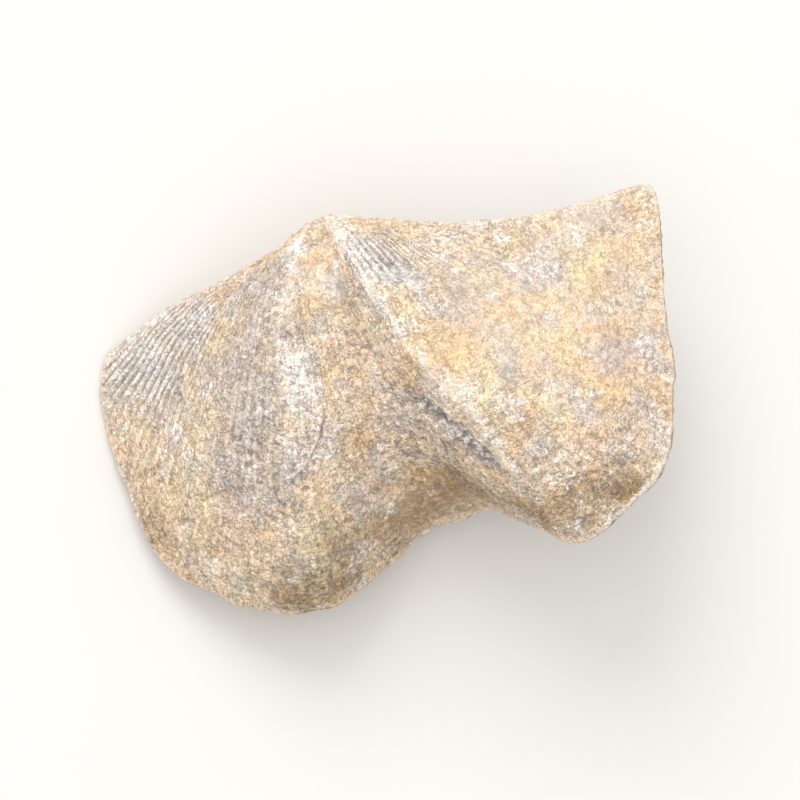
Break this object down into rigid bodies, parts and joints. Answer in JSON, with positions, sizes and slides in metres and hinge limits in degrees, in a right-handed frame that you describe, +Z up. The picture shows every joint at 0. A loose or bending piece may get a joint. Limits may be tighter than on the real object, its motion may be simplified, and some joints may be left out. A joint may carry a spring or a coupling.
{
  "type": "fossil spiriferid brachiopod",
  "caption": "Fossil brachiopod shell turned to stone: winged hinge, deep sulcus between two ridges, fine worn ribs.",
  "frame": {"origin": "middle of the base, on the surface that the fossil lies on", "axes": "+Z up; +X towards the raised right ear, along the hinge; +Y towards the beak and hinge side"},
  "size_m": [0.0434, 0.0288, 0.0217],
  "materials": {
    "shell_stone": "matt, sandy and worn"
  },
  "bodies": {
    "root": {"brachiopod_fossil": "shell_stone"}
  },
  "joints": []
}
